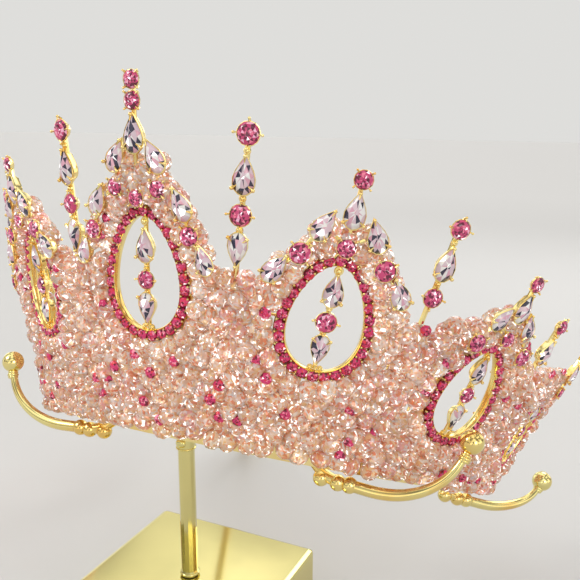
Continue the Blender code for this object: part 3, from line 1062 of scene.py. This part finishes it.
def bead_spots(side, chance):
    """Azimuth, height and depth of each bead of one half, in staggered rows that follow the wall."""
    spacing = sizes().bead_spacing / MM
    rise = spacing * ROW_RISE
    spots = []
    for row in range(int(80 / rise)):
        height = FIRST_ROW + row * rise
        radius = RING_RADIUS + height * math.sin(FLARE)
        step = math.degrees(spacing / radius)
        start = step * (0.25 if row % 2 else 0.75)
        for column in range(int(WALL_END / step) + 1):
            azimuth = start + column * step
            if azimuth < WALL_END - 0.5 and height < bead_top(azimuth) - 1.0:
                if not in_window(azimuth, height, BEAD_CLEARANCE):
                    spots.append((side * azimuth, height, chance.uniform(*BEAD_DEPTHS)))
    return spots


def collar_spots(side, chance):
    """Rows of beads that hug the bands, and climb over them to the crest stones."""
    spacing = sizes().bead_spacing / MM
    spots = []
    for window in WINDOWS:
        place = window[1] * WINDOW_PITCH
        for row, reach in enumerate(COLLAR_REACHES):
            for angle in even_angles(window, FRAME_WIDTH + reach, spacing):
                sideways, height = egg_point(window, angle, FRAME_WIDTH + reach)
                radius = RING_RADIUS + height * HEIGHT_STRETCH * math.sin(FLARE)
                azimuth = place + math.degrees(sideways / radius)
                on_wall = 0.0 < azimuth < WALL_END and 0.5 < height < bead_top(azimuth) + 1.0
                low_outer = row and height < window[3] - 4.0
                if on_wall and not low_outer and not in_window(azimuth, height, FRAME_WIDTH):
                    lift = 0.6 if height > window[3] - 6.0 else 0.2
                    spots.append((side * azimuth, height, chance.uniform(*COLLAR_DEPTHS) + lift))
    return spots


def bead_places(spots, chance):
    """Frames of the beads, each with its own stray, size and turn."""
    stray = sizes().bead_scatter / MM
    width = sizes().bead_width
    places = []
    for azimuth, height, depth in spots:
        radius = RING_RADIUS + height * math.sin(FLARE)
        azimuth = azimuth + math.degrees(chance.uniform(-stray, stray) / radius)
        place = wall_frame(azimuth, height + chance.uniform(-stray, stray), depth)
        turn = Matrix.Rotation(chance.uniform(0, math.pi), 4, "Z")
        tip = Matrix.Rotation(chance.uniform(0, math.pi), 4, "X")
        places.append(sized(place @ turn @ tip, width * chance.uniform(0.9, 1.06)))
    return places


def lattice_rods(side):
    """Gold wires behind the beads, up and round the wall, stopping at the openings."""
    width = sizes().lattice_width
    rods = []
    rows = [FIRST_WIRE + WIRE_RISE * i for i in range(WIRE_ROWS)]
    columns = [COLUMN_STEP * (i + 0.5) for i in range(int(WALL_END / COLUMN_STEP))]
    for azimuth in columns:
        heights = np.arange(0.5, bead_top(azimuth) - 1.0, WIRE_STEP)
        for low, high in zip(heights, heights[1:]):
            if not in_window(azimuth, (low + high) / 2, WIRE_CLEARANCE):
                ends = [wall_point(side * azimuth, h, LATTICE_DEPTH) for h in (low, high)]
                rods.append(rod_place(*ends, width))
    for height in rows:
        for azimuth in np.arange(0.0, WALL_END - COLUMN_STEP / 2, COLUMN_STEP / 2):
            middle = azimuth + COLUMN_STEP / 4
            if height < bead_top(middle) - 1.0 and not in_window(middle, height, WIRE_CLEARANCE):
                ends = [wall_point(side * (azimuth + part), height, LATTICE_DEPTH)
                        for part in (0.0, COLUMN_STEP / 2)]
                rods.append(rod_place(*ends, width))
    return rods


def glimpse_places(spots, chance):
    """Small crimson stones on the lattice, seen here and there between the beads."""
    rise = sizes().bead_spacing / MM / 2
    places = []
    for azimuth, low, _ in spots:
        height = low + rise
        if chance.random() < GLIMPSE_SHARE and not in_window(azimuth, height, GLIMPSE_CLEARANCE):
            place = wall_frame(azimuth, height, GLIMPSE_DEPTH, 0.0, chance.uniform(0.0, 90.0))
            places.append(sized(place, GLIMPSE_WIDTH * MM))
    return places


def crest_spots(side, chance):
    """Beads strung along the wires of the crests, between their stones."""
    spots = []
    for window in WINDOWS:
        stones = PEAKS[window[1]]
        pear = max(stone[2] for stone in stones if stone[0] == "pear")
        for (x0, h0), (x1, h1) in crest_runs(stones):
            steps = max(1, round(math.hypot(x1 - x0, h1 - h0) / CREST_BEAD_STEP))
            for step in range(steps):
                part = (step + 0.5) / steps
                sideways = x0 + (x1 - x0) * part
                height = h0 + (h1 - h0) * part
                for across, below in ((sideways, 3.0), (sideways * 0.5 if sideways else 2.4, 7.0)):
                    turn = math.degrees(across / (RING_RADIUS + height * 0.43))
                    azimuth = window[1] * WINDOW_PITCH + turn
                    free = not in_window(azimuth, height, CREST_CLEARANCE)
                    if 0.0 < azimuth < WALL_END and height < pear - below and free:
                        spots.append((side * azimuth, height, chance.uniform(*CREST_DEPTHS)))
    return spots


def back_beads(spots):
    """Second layer of beads, in the gaps of the first."""
    shift = sizes().bead_spacing / MM / 2
    behind = []
    for azimuth, height, _ in spots:
        beside = azimuth + math.copysign(math.degrees(shift / RING_RADIUS), azimuth)
        inside = abs(beside) < WALL_END - 1.0 and height + shift < bead_top(beside) - 1.5
        if inside and not in_window(beside, height + shift, BACK_CLEARANCE):
            behind.append((beside, height + shift, BACK_BEAD_DEPTH))
    return behind


def build_beads():
    for side, label in ((-1, "left"), (1, "right")):
        chance = random.Random(40 + side)
        spots = bead_spots(side, chance) + collar_spots(side, chance)
        places = bead_places(spots + back_beads(spots) + crest_spots(side, chance), chance)
        beads = lay_out("beads", master("bead"), places, finish("bead_glass"), 80 + side)
        lattice = soften(lay_out("lattice", master("rod"), lattice_rods(side), finish("gold")))
        behind = glimpse_places(spots, chance)
        glimpses = lay_out("glimpses", master("small_stone"), behind, finish("crimson"), 90 + side)
        mount(join("beads_" + label, [lattice, glimpses, beads]), "bead", "bead_field_" + label)


def arm_plan(azimuth, radius):
    """Direction of an arm from the hub, and its distances to the rim and to the ball."""
    angle = math.radians(azimuth)
    ball = Vector((radius * math.sin(angle), -radius * math.cos(angle)))
    hub = Vector((0.0, HUB_Y))
    reach = (ball - hub).length
    along = (ball - hub) / reach
    half = hub.dot(along)
    rim = -half + math.sqrt(half * half + RING_RADIUS ** 2 - HUB_Y ** 2)
    return along, rim, reach


def arm_rod(name, stations):
    """Round rod that swells and thins along a smooth line through its stations."""
    deselect()
    bpy.ops.curve.primitive_nurbs_path_add()
    curve = added(name)
    curve.data.splines.clear()
    line = curve.data.splines.new("NURBS")
    line.points.add(len(stations) - 1)
    for point, (spot, thick) in zip(line.points, stations):
        point.co = (*spot, 1.0)
        point.radius = thick
    line.use_endpoint_u = True
    line.order_u = 3
    line.resolution_u = 8
    curve.data.dimensions = "3D"
    curve.data.bevel_depth = sizes().rod_width / 2
    curve.data.bevel_resolution = 4
    curve.data.use_fill_caps = True
    bpy.ops.object.convert(target="MESH")
    return bpy.context.object


def build_arms():
    """Arms of the cradle: rod, beads under the rim, scroll, collar and ball."""
    ball_radius = sizes().ball_width / 2
    rod_radius = sizes().rod_width / MM / 2
    for label, azimuth, radius, level in ARMS:
        along, rim, reach = arm_plan(azimuth, radius)
        low = -2.0 * math.cos(FLARE) - 0.6 - rod_radius
        outer = reach - rim
        climb = level - low

        def spot(distance, height):
            return ring_point(along.x * distance, HUB_Y + along.y * distance, height)

        line = (
            (HUB_RADIUS + 0.3, HUB_LEVEL, 0.8), (rim - 22.0, HUB_LEVEL, 0.8), (rim - 17.0, 1.0, 0.9),
            (rim - 12.0, low + 0.6, 1.0), (rim - 4.0, low, 1.0), (rim + outer * 0.15, low - 0.6, 1.0),
            (rim + outer * 0.42, low + climb * 0.03, 0.95),
            (rim + outer * 0.66, low + climb * 0.2, 0.85),
            (rim + outer * 0.84, low + climb * 0.45, 0.75),
            (rim + outer * 0.95, low + climb * 0.76, 0.65),
            (reach, level, 0.6),
        )
        parts = [arm_rod("rod", [(spot(distance, height), thick) for distance, height, thick in line])]
        parts.append(sphere("ball", ball_radius, spot(reach, level), 32, 20))
        for distance, lift in ((rim - 13.5, 0.5), (rim - 8.6, 0.1), (rim - 5.2, 0.1)):
            parts.append(sphere("bead", 2.4 * MM, spot(distance, low + lift), 20, 12))
        neck = spot(rim + outer * 0.95, low + climb * 0.74)
        rise = (spot(reach, level) - neck).normalized()
        turn = rise.to_track_quat("Z", "Y").to_euler()
        for offset, wide in ((-0.7, 1.5), (0.0, 1.75), (0.8, 1.5)):
            place = neck + rise * offset * MM
            parts.append(hoop("collar", wide * MM * 0.7, 0.55 * MM, 24, 10, place, turn))
        piece = join("arm_" + label, parts)
        dress(piece, finish("arm_gold"))
        mount(soften(piece), "gold", "cradle_arm_" + label)


def finish_solids():
    """Metal for the solids that keep their shape."""
    for name in ("cradle_hub", "rim_band"):
        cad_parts[name].data.materials[0] = finish("gold")
    for name in ("stand_base", "stand_post"):
        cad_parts[name].data.materials[0] = finish("stand_gold")


def build_collar():
    """Rings at the head and foot of the post, and the nub in front of its head."""
    width = (COLLAR_RADIUS - 0.1) * MM
    parts = [
        hoop("ring", width, thick * MM, 40, 10, (0.0, 0.0, level * MM))
        for level, thick in ((POST_HEAD - 0.3, 0.25), (POST_HEAD - 4.8, 0.35), (POST_FOOT, 0.4))]
    place = (0.0, -COLLAR_RADIUS * MM, (POST_HEAD - 2.6) * MM)
    parts.append(sphere("nub", 1.7 * MM, place, 24, 14))
    bpy.ops.transform.resize(value=(1.0, 0.55, 0.8), center_override=place)
    piece = soften(join("post_rings", parts))
    dress(piece, finish("stand_gold"))
    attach(piece, "root")


# Studio

CAMERA_PLACE = (0.1173, -0.1754, 0.1609)
CAMERA_AZIMUTH = math.radians(25.24)
CAMERA_ELEVATION = math.radians(13.59)
CAMERA_ROLL = math.radians(0.19)
CAMERA_LENS = 46.34
BACKDROP = (0.735, 0.73, 0.71, 1.0)
# Painted light on the floor: from the near distance to the far one, in metres, it turns paler by this
# factor
FLOOR_NEAR = 0.25
FLOOR_FAR = 1.3
FLOOR_PAINTED_LIGHT = 1.2
SURROUND_FRONT = 0.95
SURROUND_BACK = 1.06
SURROUND_COLOUR = (1.0, 0.985, 0.96)
CLOUD_SCALE = 3.4
CLOUD_RANGE = (0.38, 0.62)
CLOUD_LEVELS = (0.22, 1.6)
LIGHT_BOUNCES = 24
AIM_POINT = (0.0, 0.0, 0.08)


def build_floor():
    """Plain floor with painted light: a little paler far from the tiara so that it runs into the
    surround.
    """
    deselect()
    bpy.ops.mesh.primitive_plane_add(size=8.0, location=(0.0, 0.0, 0.0))
    floor = added("floor")
    material, tree, shader = new_material("floor_paint")
    colour = colours().floor
    paint = mixed(tree, noise(tree, 6.0, 4.0), opaque(tone(colour, 0.97)), opaque(tone(colour, 1.03)))
    away = shader_node(tree, "VectorMath", {0: place_on(tree)}, operation="LENGTH").outputs["Value"]
    # Painted light: the floor is painted paler away from the tiara
    far = ranged(tree, away, FLOOR_NEAR, FLOOR_FAR)
    paint = mixed(tree, far, paint, opaque(tone(colour, FLOOR_PAINTED_LIGHT)))
    feed(tree, shader, {"Base Color": paint, "Roughness": 0.6})
    dress(floor, material)


def build_world():
    """Pale, softly uneven surround: a little brighter behind, and plain where the camera sees it."""
    world = bpy.data.worlds.new("studio")
    bpy.context.scene.world = world
    world.use_nodes = True
    tree = world.node_tree
    depth = axis_part(tree, place_on(tree, "Generated"), "Y")
    level = ranged(tree, depth, -1.0, 0.4, SURROUND_FRONT, SURROUND_BACK)
    cloud = noise(tree, CLOUD_SCALE, output="Generated")
    patch = ranged(tree, cloud, *CLOUD_RANGE, *CLOUD_LEVELS)
    light = scaled(tree, SURROUND_COLOUR, maths(tree, "MULTIPLY", level, patch))
    seen = shader_node(tree, "LightPath", {}).outputs["Is Camera Ray"]
    feed(tree, tree.nodes["Background"], {"Color": mixed(tree, seen, light, BACKDROP), "Strength": 1.0})


def soft_light(name, place, power, size, colour):
    """Square soft light that looks at the tiara."""
    deselect()
    turn = (Vector(place) - Vector(AIM_POINT)).to_track_quat("Z", "Y").to_euler()
    bpy.ops.object.light_add(type="AREA", location=place, rotation=turn)
    light = bpy.context.object
    light.name = name
    light.data.energy = power
    light.data.size = size
    light.data.color = colour


def aim_camera():
    """Camera at the place and angle of the photograph."""
    deselect()
    bpy.ops.object.camera_add()
    camera = bpy.context.object
    camera.name = "photo_camera"
    level = math.cos(CAMERA_ELEVATION)
    back = Vector((math.sin(CAMERA_AZIMUTH) * level, -math.cos(CAMERA_AZIMUTH) * level,
                   math.sin(CAMERA_ELEVATION)))
    right = Vector((math.cos(CAMERA_AZIMUTH), math.sin(CAMERA_AZIMUTH), 0.0))
    right = math.cos(CAMERA_ROLL) * right + math.sin(CAMERA_ROLL) * back.cross(right)
    up = back.cross(right)
    turn = Matrix((right, up, back)).transposed().to_4x4()
    camera.matrix_world = Matrix.Translation(CAMERA_PLACE) @ turn
    camera.data.lens = CAMERA_LENS
    camera.data.clip_start = 0.01
    bpy.context.scene.camera = camera


class BuildBeads(bpy.types.Operator):
    """Cut glass beads on a gold lattice, in two halves."""

    bl_idname = "tiara.beads"
    bl_label = "Beads"

    def execute(self, context):
        build_beads()
        return {"FINISHED"}


class BuildBands(bpy.types.Operator):
    """Bands of small stones round the openings."""

    bl_idname = "tiara.bands"
    bl_label = "Opening bands"

    def execute(self, context):
        build_bands()
        return {"FINISHED"}


class BuildDrops(bpy.types.Operator):
    """Strings of three stones in the openings."""

    bl_idname = "tiara.drops"
    bl_label = "Drops"

    def execute(self, context):
        build_drops()
        return {"FINISHED"}


class BuildCrests(bpy.types.Operator):
    """Set stones over the openings."""

    bl_idname = "tiara.crests"
    bl_label = "Crests"

    def execute(self, context):
        build_peaks()
        return {"FINISHED"}


class BuildStakes(bpy.types.Operator):
    """Stakes of stones between the openings."""

    bl_idname = "tiara.stakes"
    bl_label = "Stakes"

    def execute(self, context):
        build_spires()
        return {"FINISHED"}


class BuildArms(bpy.types.Operator):
    """Ball-tipped arms under the rim."""

    bl_idname = "tiara.arms"
    bl_label = "Cradle arms"

    def execute(self, context):
        build_arms()
        return {"FINISHED"}


class BuildStand(bpy.types.Operator):
    """Finish of the base, the post, the hub and the rim, with the post's rings."""

    bl_idname = "tiara.stand"
    bl_label = "Stand and rim"

    def execute(self, context):
        finish_solids()
        build_collar()
        return {"FINISHED"}


class BuildStudio(bpy.types.Operator):
    """Plain floor, soft light and the camera."""

    bl_idname = "tiara.studio"
    bl_label = "Studio"

    def execute(self, context):
        context.scene.view_settings.view_transform = "Standard"
        context.scene.cycles.max_bounces = LIGHT_BOUNCES
        context.scene.cycles.transmission_bounces = LIGHT_BOUNCES
        build_floor()
        build_world()
        soft_light("key", (-0.45, -0.35, 0.55), 1.4, 0.2, (1.0, 0.98, 0.95))
        soft_light("fill", (0.55, -0.45, 0.30), 0.6, 0.25, (1.0, 0.96, 0.93))
        soft_light("back", (0.15, 0.65, 0.45), 0.8, 0.3, (1.0, 1.0, 1.0))
        aim_camera()
        return {"FINISHED"}


BUILDERS = (
    BuildBeads, BuildBands, BuildDrops, BuildCrests, BuildStakes, BuildArms, BuildStand, BuildStudio)


class TiaraPanel(bpy.types.Panel):
    """Sizes, colours and pieces of the tiara."""

    bl_idname = "VIEW3D_PT_tiara"
    bl_label = "Beaded Tiara"
    bl_space_type = "VIEW_3D"
    bl_region_type = "UI"
    bl_category = "Tiara"

    def draw(self, context):
        for group in (context.scene.tiara_sizes, context.scene.tiara_colours):
            box = self.layout.box()
            for name in group.bl_rna.properties.keys():
                if name not in ("name", "rna_type"):
                    box.prop(group, name)
        for builder in BUILDERS:
            self.layout.operator(builder.bl_idname)


CLASSES = (TiaraSizes, TiaraColours, *BUILDERS, TiaraPanel)


def register():
    for kind in CLASSES:
        bpy.utils.register_class(kind)
    bpy.types.Scene.tiara_sizes = bpy.props.PointerProperty(type=TiaraSizes)
    bpy.types.Scene.tiara_colours = bpy.props.PointerProperty(type=TiaraColours)


def unregister():
    del bpy.types.Scene.tiara_sizes
    del bpy.types.Scene.tiara_colours
    for kind in reversed(CLASSES):
        bpy.utils.unregister_class(kind)


def main():
    register()
    bpy.ops.tiara.beads()
    bpy.ops.tiara.bands()
    bpy.ops.tiara.drops()
    bpy.ops.tiara.crests()
    bpy.ops.tiara.stakes()
    bpy.ops.tiara.arms()
    bpy.ops.tiara.stand()
    bpy.ops.tiara.studio()
    discard_masters()
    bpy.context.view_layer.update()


if __name__ == "__main__":
    main()
